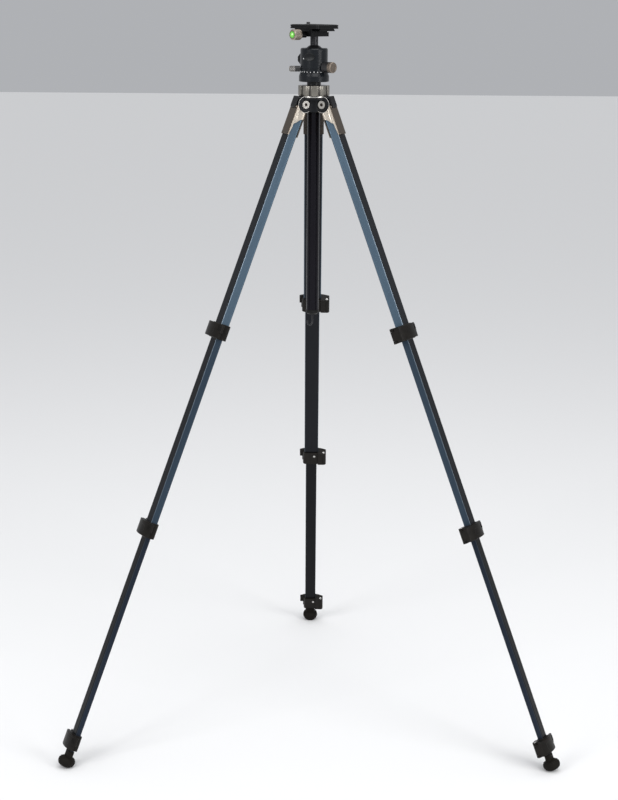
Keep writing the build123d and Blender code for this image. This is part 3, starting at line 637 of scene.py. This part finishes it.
# Lever pins: a rivet head on each end
rivet = {"radius": 2.7 * mm, "height": 0.45 * mm, "rim": 0.9 * mm, "slope": 0.3 * mm, "dimple": 0.2 * mm,
         "standoff": 13.98 * mm, "edge": 0.15 * mm}
head = disc(rivet["radius"], rivet["height"], 32)
edit(head)
inset(head, front, rivet["rim"])
inset(head, frontMiddle, rivet["slope"], -rivet["dimple"])
finishEdges(head, rivet["edge"])
rivetPlaces = []
for leg in legs:
    for number, pin in enumerate(leg.locks):
        body = f"{leg.name}_{lockBodies[number]}"
        top = leg.at(pin + leg.up * rivet["standoff"])
        bottom = leg.at(pin - leg.up * rivet["standoff"]) @ Matrix.Rotation(math.pi, 4, "X")
        rivetPlaces += [(top, body), (bottom, body)]
spread(head, rivetPlaces, "leverRivet", slotPaints["bolt_steel"])
print("lever rivets made")

# Lever grips: upright ribs on each finger tab
ribs = {"width": 0.9 * mm, "proud": 0.55 * mm, "low": 0.5 * mm, "high": 10.5 * mm,
        "pitch": 2.3 * mm, "count": 4, "first": 2.6 * mm, "edge": 0.12 * mm}
lever = {"pin": 10 * mm, "tab": 16 * mm, "tabShare": 0.5, "pinSink": 0.3 * mm}


def crownAt(halfWidth, depth, y):
    # the lever's outer face: an arc through the boss side, the crown and the tab's tip
    a = Vector((depth / 2 + 0.5 * mm, -halfWidth - 14.9 * mm))
    b = Vector((depth / 2 + 7.7 * mm, -3 * mm))
    c = Vector((depth / 2 + 2.5 * mm, lever["tab"] + halfWidth * lever["tabShare"]))
    aa, bb, cc = a.length_squared, b.length_squared, c.length_squared
    twice = 2 * (a.x * (b.y - c.y) + b.x * (c.y - a.y) + c.x * (a.y - b.y))
    middle = Vector((aa * (b.y - c.y) + bb * (c.y - a.y) + cc * (a.y - b.y),
                     aa * (c.x - b.x) + bb * (a.x - c.x) + cc * (b.x - a.x))) / twice
    rise = y - middle.y
    reach = math.sqrt((a - middle).length_squared - rise ** 2)
    return middle.x + reach, math.atan2(rise, reach)


rib = cube((2 * ribs["proud"], ribs["width"], ribs["high"] - ribs["low"]))
edit(rib)
pick(rib, lambda centre, normal: normal.x > 0.9)
bpy.ops.transform.resize(value=(1, 0.6, 0.94))
finishEdges(rib, ribs["edge"])
ribPlaces = []
for leg in legs:
    for number, pin in enumerate(leg.locks):
        halfWidth, depth = lockSize(leg, number)
        for step in range(ribs["count"]):
            y = lever["tab"] + halfWidth * lever["tabShare"] - ribs["first"] - step * ribs["pitch"]
            x, lean = crownAt(halfWidth, depth, y)
            outFromPin = x + depth / 2 + lever["pinSink"]
            middle = (outFromPin, y + halfWidth + lever["pin"], (ribs["low"] + ribs["high"]) / 2)
            local = Matrix.Translation(middle) @ Matrix.Rotation(lean, 4, "Z")
            ribPlaces.append((leg.at(pin) @ local, f"{leg.name}_lever_{number + 1}"))
spread(rib, ribPlaces, "leverRib", slotPaints["black_plastic"])
print("lever ribs made")

# Collar screws: a socket head on the column side of each collar
collarScrew = {"radius": 2.3 * mm, "height": 1.1 * mm, "socket": 1.1 * mm, "sunk": 0.7 * mm,
               "taper": 0.02 * mm, "edge": 0.14 * mm, "up": 6.5 * mm, "in": 4 * mm, "below": 2.95 * mm}
screw = disc(collarScrew["radius"], collarScrew["height"], 30)
edit(screw)
inset(screw, front, collarScrew["radius"] - collarScrew["socket"])
inset(screw, frontMiddle, collarScrew["taper"], -collarScrew["sunk"])
finishEdges(screw, collarScrew["edge"])
screwPlaces = []
for leg in legs:
    for number, pin in enumerate(leg.locks):
        halfWidth, depth = lockSize(leg, number)
        inner = pin + leg.across * (halfWidth + collarScrew["in"]) - leg.out * collarScrew["below"]
        matrix = leg.at(inner + leg.up * collarScrew["up"]) @ Matrix.Rotation(-math.pi / 2, 4, "Y")
        screwPlaces.append((matrix, f"{leg.name}_{lockBodies[number]}"))
spread(screw, screwPlaces, "collarScrew", slotPaints["bolt_steel"])
print("collar screws made")

# Leg castings: the CAD casting with its side walls opened into a wide arch
for leg in legs:
    strap = copyOf(nodes[f"{leg.name}_shoulder"])
    edit(strap)
    bpy.ops.mesh.select_all(action="SELECT")
    bpy.ops.mesh.remove_doubles(threshold=0.001 * mm)
    bpy.ops.object.mode_set(mode="OBJECT")
    deselect()
    bpy.ops.mesh.primitive_circle_add(vertices=96, radius=1, fill_type="NGON")
    arch = bpy.context.object
    arch.scale = (casting["archWidth"], casting["archHeight"], 1)
    applyTransform()
    edit(arch)
    bpy.ops.mesh.select_all(action="SELECT")
    bpy.ops.mesh.bisect(plane_co=(0, 0, 0), plane_no=(1, 0, 0), use_fill=True, clear_inner=True)
    bpy.ops.mesh.select_all(action="SELECT")
    bpy.ops.mesh.extrude_region_move(TRANSFORM_OT_translate={"value": (0, 0, casting["cutLength"])})
    bpy.ops.mesh.select_all(action="SELECT")
    bpy.ops.transform.translate(value=(0, 0, -casting["cutLength"] / 2))
    bpy.ops.mesh.select_all(action="SELECT")
    bpy.ops.mesh.normals_make_consistent(inside=False)
    bpy.ops.object.mode_set(mode="OBJECT")
    foot = leg.pivot + leg.out * (offset + casting["tubeFace"]) - leg.up * casting["archFoot"]
    place(arch, leg.at(foot) @ Matrix.Rotation(math.pi / 2, 4, "X"))
    cut = strap.modifiers.new("arch", "BOOLEAN")
    cut.operation = "DIFFERENCE"
    cut.solver = "EXACT"
    cut.object = arch
    choose(strap)
    bpy.ops.object.modifier_apply(modifier=cut.name)
    bpy.ops.object.shade_smooth_by_angle(angle=math.radians(30))
    even = strap.modifiers.new("even", "WEIGHTED_NORMAL")
    even.keep_sharp = True
    bpy.ops.object.modifier_apply(modifier=even.name)
    remove(arch)
    done(strap, f"{leg.name}Casting", f"{leg.name}_leg", legPaints[f"{leg.name}_shoulder"])
    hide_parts(f"{leg.name}_shoulder")
print("castings arched")

# Column lock ring: broad lobes between upright grooves
ringRadius = (ringBox[1].y - ringBox[0].y) / 2
ringHeight = ringBox[1].z - ringBox[0].z
lobed = disc(ringRadius, ringHeight, 360)
edit(lobed)
inset(lobed, lambda centre, normal: normal.z < -0.9, ringRadius - grip["bore"])
pick(lobed, lambda centre, normal: normal.z < -0.9 and centre.xy.length < 1 * mm)
bpy.ops.mesh.extrude_region_move(TRANSFORM_OT_translate={"value": (0, 0, ringHeight - grip["web"])})
pick(lobed, lambda centre, normal: normal.z < -0.9 and centre.xy.length < 1 * mm)
bpy.ops.mesh.inset(thickness=grip["bore"] - grip["hole"])
inset(lobed, front, ringRadius - grip["hole"])
pick(lobed, lambda centre, normal: abs(normal.z) > 0.9 and centre.xy.length < 1 * mm)
bpy.ops.mesh.bridge_edge_loops()
bpy.ops.mesh.select_all(action="DESELECT")
bpy.ops.mesh.select_mode(type="VERT")
lobe = 360 / grip["lobes"]
for width, pull in grip["steps"]:
    bpy.ops.object.mode_set(mode="OBJECT")
    for vertex in lobed.data.vertices:
        azimuth = math.degrees(math.atan2(vertex.co.y, vertex.co.x)) - grip["first"]
        inGroove = abs((azimuth + lobe / 2) % lobe - lobe / 2) < width
        vertex.select = inGroove and vertex.co.xy.length > grip["bore"] + 1 * mm
    bpy.ops.object.mode_set(mode="EDIT")
    bpy.ops.transform.resize(value=(pull, pull, 1), center_override=(0, 0, 0))
bpy.ops.mesh.select_mode(type="FACE")
finishEdges(lobed, 0.7 * mm, 3, 50)
place(lobed, Matrix.Translation((0, 0, ringBox[0].z)))
done(lobed, "lockRingGrip", "lock_ring", slotPaints["ring"])
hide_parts("column_lock_ring")
print("lock ring lobed")

# Spider: a machined ring on each ear and a polished band under the lock ring
earRing = {"outer": 14.45 * mm, "width": 0.9 * mm, "proud": 0.22 * mm, "sunk": 0.3 * mm, "face": 10.5 * mm}
polished = turned("polished aluminium", (0.72, 0.70, 0.66), 0.16, 1.0, up, headCentre, 2000.0)
ring = disc(earRing["outer"], earRing["proud"] + earRing["sunk"], 96)
edit(ring)
opened(ring, earRing["width"])
finishEdges(ring, 0.08 * mm, 1)
earPlaces = []
for leg in legs:
    for side in (-1, 1):
        origin = leg.pivot + leg.across * side * (earRing["face"] - earRing["sunk"])
        earPlaces.append((leg.at(origin) @ Matrix.Rotation(-side * math.pi / 2, 4, "X"), "spider"))
spread(ring, earPlaces, "earRing", polished)

band = {"radius": 26.2 * mm, "bottom": 11.8 * mm, "height": 2.6 * mm, "width": 1.2 * mm}
rim = disc(band["radius"], band["height"], 160)
edit(rim)
opened(rim, band["width"])
finishEdges(rim, 0.5 * mm, 3)
place(rim, columnAxis @ Matrix.Translation((0, 0, band["bottom"])))
done(rim, "rimBand", "spider", polished)
print("spider trim made")

# Knob faces
knobFaces = [
    {"name": "frictionKnobFace", "body": "friction_knob", "reach": 45.65, "radius": 8.25 * mm, **frictionKnob},
    {"name": "panKnobFace", "body": "pan_lock_knob", "reach": 43.15, "radius": 4.0 * mm, **panKnob},
    {"name": "mainKnobFace", "body": "main_knob", "reach": 44.15, "radius": 7.6 * mm,
     "azimuth": 118.0, "height": 77.3},
]
knobFace = {"depth": 0.6 * mm, "rim": 0.16, "slope": 0.05, "boss": 0.5, "sunk": 0.25 * mm, "rise": 0.12 * mm}
for face in knobFaces:
    matrix = facingOut(face["azimuth"], face["height"], face["reach"])
    cap = disc(face["radius"], knobFace["depth"], 72)
    edit(cap)
    inset(cap, front, knobFace["rim"] * face["radius"])
    inset(cap, frontMiddle, knobFace["slope"] * face["radius"], -knobFace["sunk"])
    bpy.ops.mesh.inset(thickness=knobFace["boss"] * face["radius"])
    bpy.ops.transform.translate(value=(0, 0, knobFace["rise"]))
    finishEdges(cap, 0.12 * mm)
    place(cap, matrix)
    if face["body"] == "main_knob":
        done(cap, face["name"], face["body"], slotPaints["knob"])
    else:
        metal = turned(face["name"] + " bronze", (0.20, 0.165, 0.135), 0.34, 0.85,
                       matrix.to_3x3() @ up, matrix.translation, 2000.0)
        done(cap, face["name"], face["body"], metal)
print("knob faces made")

# Housing: a scale of short marks, an index dot and an oval badge with nothing on it
whitePaint = grained("white marking paint", (0.72, 0.73, 0.72), 0.5, grain=0.04)
greenPaint = grained("pale green marking paint", (0.45, 0.68, 0.42), 0.5, grain=0.04)
scale = {"radius": 24.2, "height": 55.7, "count": 24, "width": 1.35 * mm, "thick": 0.16 * mm,
         "long": 1.9 * mm, "short": 1.5 * mm}
marks = []
for step in range(scale["count"]):
    length = scale["long"] if step % 3 == 0 else scale["short"]
    mark = cube((scale["width"], length, scale["thick"]))
    foot = facingOut(step * 360 / scale["count"], scale["height"], scale["radius"])
    place(mark, foot @ Matrix.Translation((0, length / 2, 0)))
    marks.append(mark)
panScale = joinedUp(marks)
finishEdges(panScale, 0.04 * mm, 1)
done(panScale, "panScale", "head", whitePaint)

clampAzimuth = 222.0
clampEnd = facingOut(clampAzimuth, 123.0, 20.95)
clampSide = facingOut(clampAzimuth + 90, 126.0, 15.95)
dots = [
    {"name": "housingDot", "on": facingOut(220.0, 79.5, 24.1), "aside": 0.0, "radius": 1.1 * mm,
     "body": "head", "paint": whitePaint},
    {"name": "clampGreenDot", "on": clampEnd, "aside": -10.4 * mm, "radius": 1.3 * mm,
     "body": "jaw", "paint": greenPaint},
    {"name": "clampWhiteDot", "on": clampSide, "aside": 17.9 * mm, "radius": 1.2 * mm,
     "body": "clamp", "paint": whitePaint},
]
for dot in dots:
    spot = disc(dot["radius"], 0.25 * mm, 32)
    edit(spot)
    inset(spot, front, dot["radius"] * 0.4)
    bpy.ops.transform.translate(value=(0, 0, 0.03 * mm))
    finishEdges(spot, 0.06 * mm)
    place(spot, dot["on"] @ Matrix.Translation((dot["aside"], 0, 0)))
    done(spot, dot["name"], dot["body"], dot["paint"])

badge = {"azimuth": 250.0, "height": 82.5, "reach": 23.2,
         "halfWidth": 9.85 * mm, "halfHeight": 6.85 * mm, "thick": 0.7 * mm}
oval = disc(1.0, 1.0, 72)
oval.scale = (badge["halfWidth"], badge["halfHeight"], badge["thick"])
applyTransform()
edit(oval)
inset(oval, front, 0.7 * mm)
pick(oval, lambda centre, normal: normal.z > 0.9 and centre.xy.length < 0.5 * mm)
bpy.ops.mesh.inset(thickness=0.15 * mm, depth=-0.2 * mm)
finishEdges(oval, 0.12 * mm)
place(oval, facingOut(badge["azimuth"], badge["height"], badge["reach"]))
lacquer = grained("badge lacquer", (0.005, 0.006, 0.007), 0.34, grain=0.02, Specular_IOR_Level=0.2)
done(oval, "ovalBadge", "head", lacquer)
print("housing marks made")

# Level in the clamp knob: a metal bezel, a sight ring and the bubble
vial = {"height": 121.0, "knobEnd": 51.4, "stands": 0.8, "bezel": 7.6 * mm, "bezelWidth": 1.2 * mm,
        "sight": 2.9 * mm, "sightWidth": 0.35 * mm, "sightThick": 0.12 * mm, "bubble": 2.0 * mm}
vialTop = vial["knobEnd"] + vial["stands"]
bezel = disc(vial["bezel"], 0.5 * mm, 72)
edit(bezel)
opened(bezel, vial["bezelWidth"])
finishEdges(bezel, 0.12 * mm)
place(bezel, facingOut(clampAzimuth, vial["height"], vial["knobEnd"] - 0.05))
done(bezel, "levelBezel", "clamp_knob", slotPaints["bronze_knob"])

sight = disc(vial["sight"], vial["sightThick"], 64)
edit(sight)
opened(sight, vial["sightWidth"])
finishEdges(sight, 0.03 * mm, 1)
place(sight, facingOut(clampAzimuth, vial["height"], vialTop - 0.06))
done(sight, "levelSightRing", "clamp_knob", slotPaints["black_plastic"])

deselect()
bpy.ops.mesh.primitive_uv_sphere_add(segments=32, ring_count=16, radius=vial["bubble"])
bubble = bpy.context.object
bubble.scale = (1, 0.85, 0.16)
applyTransform()
edit(bubble)
pick(bubble, lambda centre, normal: normal.z < 0)
bpy.ops.transform.resize(value=(1, 1, 0.4))
bpy.ops.object.mode_set(mode="OBJECT")
bpy.ops.object.shade_smooth()
onVial = facingOut(clampAzimuth, vial["height"], vialTop)
place(bubble, onVial @ Matrix.Translation((0.6 * mm, 0.9 * mm, 0)))
bubblePaint = grained("level bubble", (0.62, 0.92, 0.45), 0.08, grain=0.0, Coat_Weight=1.0, Coat_Roughness=0.02)
done(bubble, "levelBubble", "clamp_knob", bubblePaint)
print("level made")

# Plate: two ribbed rubber pads beside the camera screw's slot
pads = {"width": 18.0 * mm, "length": 65.0 * mm, "sheet": 0.3 * mm, "rib": 0.2 * mm, "ribs": 15,
        "side": 14.7 * mm, "top": 137.7 * mm}
padRubber = grained("plate pad rubber", (0.016, 0.016, 0.016), 0.66, grain=0.3, size=600.0)
deselect()
bpy.ops.mesh.primitive_grid_add(x_subdivisions=1, y_subdivisions=2 * pads["ribs"] + 1, size=1)
pad = bpy.context.object
pad.scale = (pads["width"], pads["length"], 1)
applyTransform()
edit(pad)
bpy.ops.mesh.select_all(action="SELECT")
bpy.ops.mesh.extrude_region_move(TRANSFORM_OT_translate={"value": (0, 0, pads["sheet"])})
pitch = pads["length"] / (2 * pads["ribs"] + 1)
pick(pad, lambda centre, normal: centre.z > 0.9 * pads["sheet"] and abs(normal.z) > 0.5
     and int((centre.y + pads["length"] / 2) / pitch) % 2 == 0)
bpy.ops.mesh.extrude_region_move(TRANSFORM_OT_translate={"value": (0, 0, pads["rib"])})
bpy.ops.mesh.select_all(action="SELECT")
bpy.ops.mesh.normals_make_consistent(inside=False)
finishEdges(pad, 0.1 * mm, 1)
onPlate = columnAxis @ Matrix.Rotation(math.radians(clampAzimuth), 4, "Z")
padPlaces = [(onPlate @ Matrix.Translation((side * pads["side"], 0, pads["top"])), "plate") for side in (-1, 1)]
spread(pad, padPlaces, "platePad", padRubber)
print("plate pads made")

# Feet: raised tread rings on each rubber foot
tread = {"radius": 15.2 * mm, "halfHeight": 11.0 * mm, "tube": 0.55 * mm, "station": 1243.2 * mm,
         "rings": (-5.6 * mm, 3.0 * mm, 5.8 * mm)}
for leg in legs:
    rings = []
    for height in tread["rings"]:
        radius = tread["radius"] * math.sqrt(1 - (height / tread["halfHeight"]) ** 2)
        deselect()
        bpy.ops.mesh.primitive_torus_add(major_radius=radius, minor_radius=tread["tube"],
                                         major_segments=72, minor_segments=8)
        ringObj = bpy.context.object
        edit(ringObj)
        pick(ringObj, lambda centre, normal: normal.xy.length > 0.9 and normal.xy.dot(centre.xy) > 0)
        bpy.ops.transform.resize(value=(0.998, 0.998, 1.6))
        bpy.ops.object.mode_set(mode="OBJECT")
        place(ringObj, leg.at(leg.pivot + leg.out * offset - leg.up * (tread["station"] - height)))
        rings.append(ringObj)
    treads = joinedUp(rings)
    bpy.ops.object.shade_smooth_by_angle(angle=math.radians(50))
    done(treads, f"{leg.name}FootTread", f"{leg.name}_section_4", slotPaints["rubber"])
print("foot treads made")

# Floor, light and camera
floorPaint = Paint("pale floor", (0.80, 0.80, 0.80), 0.9, Specular_IOR_Level=0.1)
deselect()
bpy.ops.mesh.primitive_plane_add(size=40, location=(0, 0, 0))
floor = bpy.context.object
floor.name = "floor"
wear(floor, floorPaint)

world = bpy.data.worlds.new("studio")
bpy.context.scene.world = world
world.use_nodes = True
background = world.node_tree.nodes["Background"].inputs
background["Color"].default_value = (0.86, 0.88, 0.92, 1)
background["Strength"].default_value = 0.5

softboxes = [
    {"name": "keyLeft", "at": (-2.3, -2.4, 2.3), "to": (0, 0, 0.9), "size": 1.5, "power": 48},
    {"name": "keyRight", "at": (2.5, -2.1, 2.0), "to": (0, 0, 0.9), "size": 1.5, "power": 45},
    {"name": "top", "at": (0.2, 0.3, 3.2), "to": (0, 0, 1.0), "size": 2.0, "power": 22},
]
sun = bpy.data.lights.new("evenLight", "SUN")
sun.energy = 1.3
sun.angle = math.radians(50)
sunObj = bpy.data.objects.new("evenLight", sun)
bpy.context.collection.objects.link(sunObj)
sunObj.rotation_euler = (math.radians(38), 0, math.radians(12))
for box in softboxes:
    light = bpy.data.lights.new(box["name"], "AREA")
    light.size = box["size"]
    light.energy = box["power"]
    lamp = bpy.data.objects.new(box["name"], light)
    bpy.context.collection.objects.link(lamp)
    lamp.location = box["at"]
    lamp.rotation_euler = (Vector(box["to"]) - Vector(box["at"])).to_track_quat("-Z", "Y").to_euler()

view = {"at": (0, -3.087, 1.358), "down": 13.465, "roll": 0.408, "lens": 77.25, "shift": -0.00335}
camera = bpy.data.cameras.new("camera")
camera.sensor_width = 36
camera.lens = view["lens"]
camera.shift_x = view["shift"]
cameraObj = bpy.data.objects.new("camera", camera)
bpy.context.collection.objects.link(cameraObj)
pitchTurn = Matrix.Rotation(math.radians(90 - view["down"]), 4, "X")
rollTurn = Matrix.Rotation(math.radians(view["roll"]), 4, "Z")
cameraObj.matrix_world = Matrix.Translation(view["at"]) @ pitchTurn @ rollTurn
bpy.context.scene.camera = cameraObj
bpy.context.scene.view_settings.view_transform = "Standard"
print("stage set")
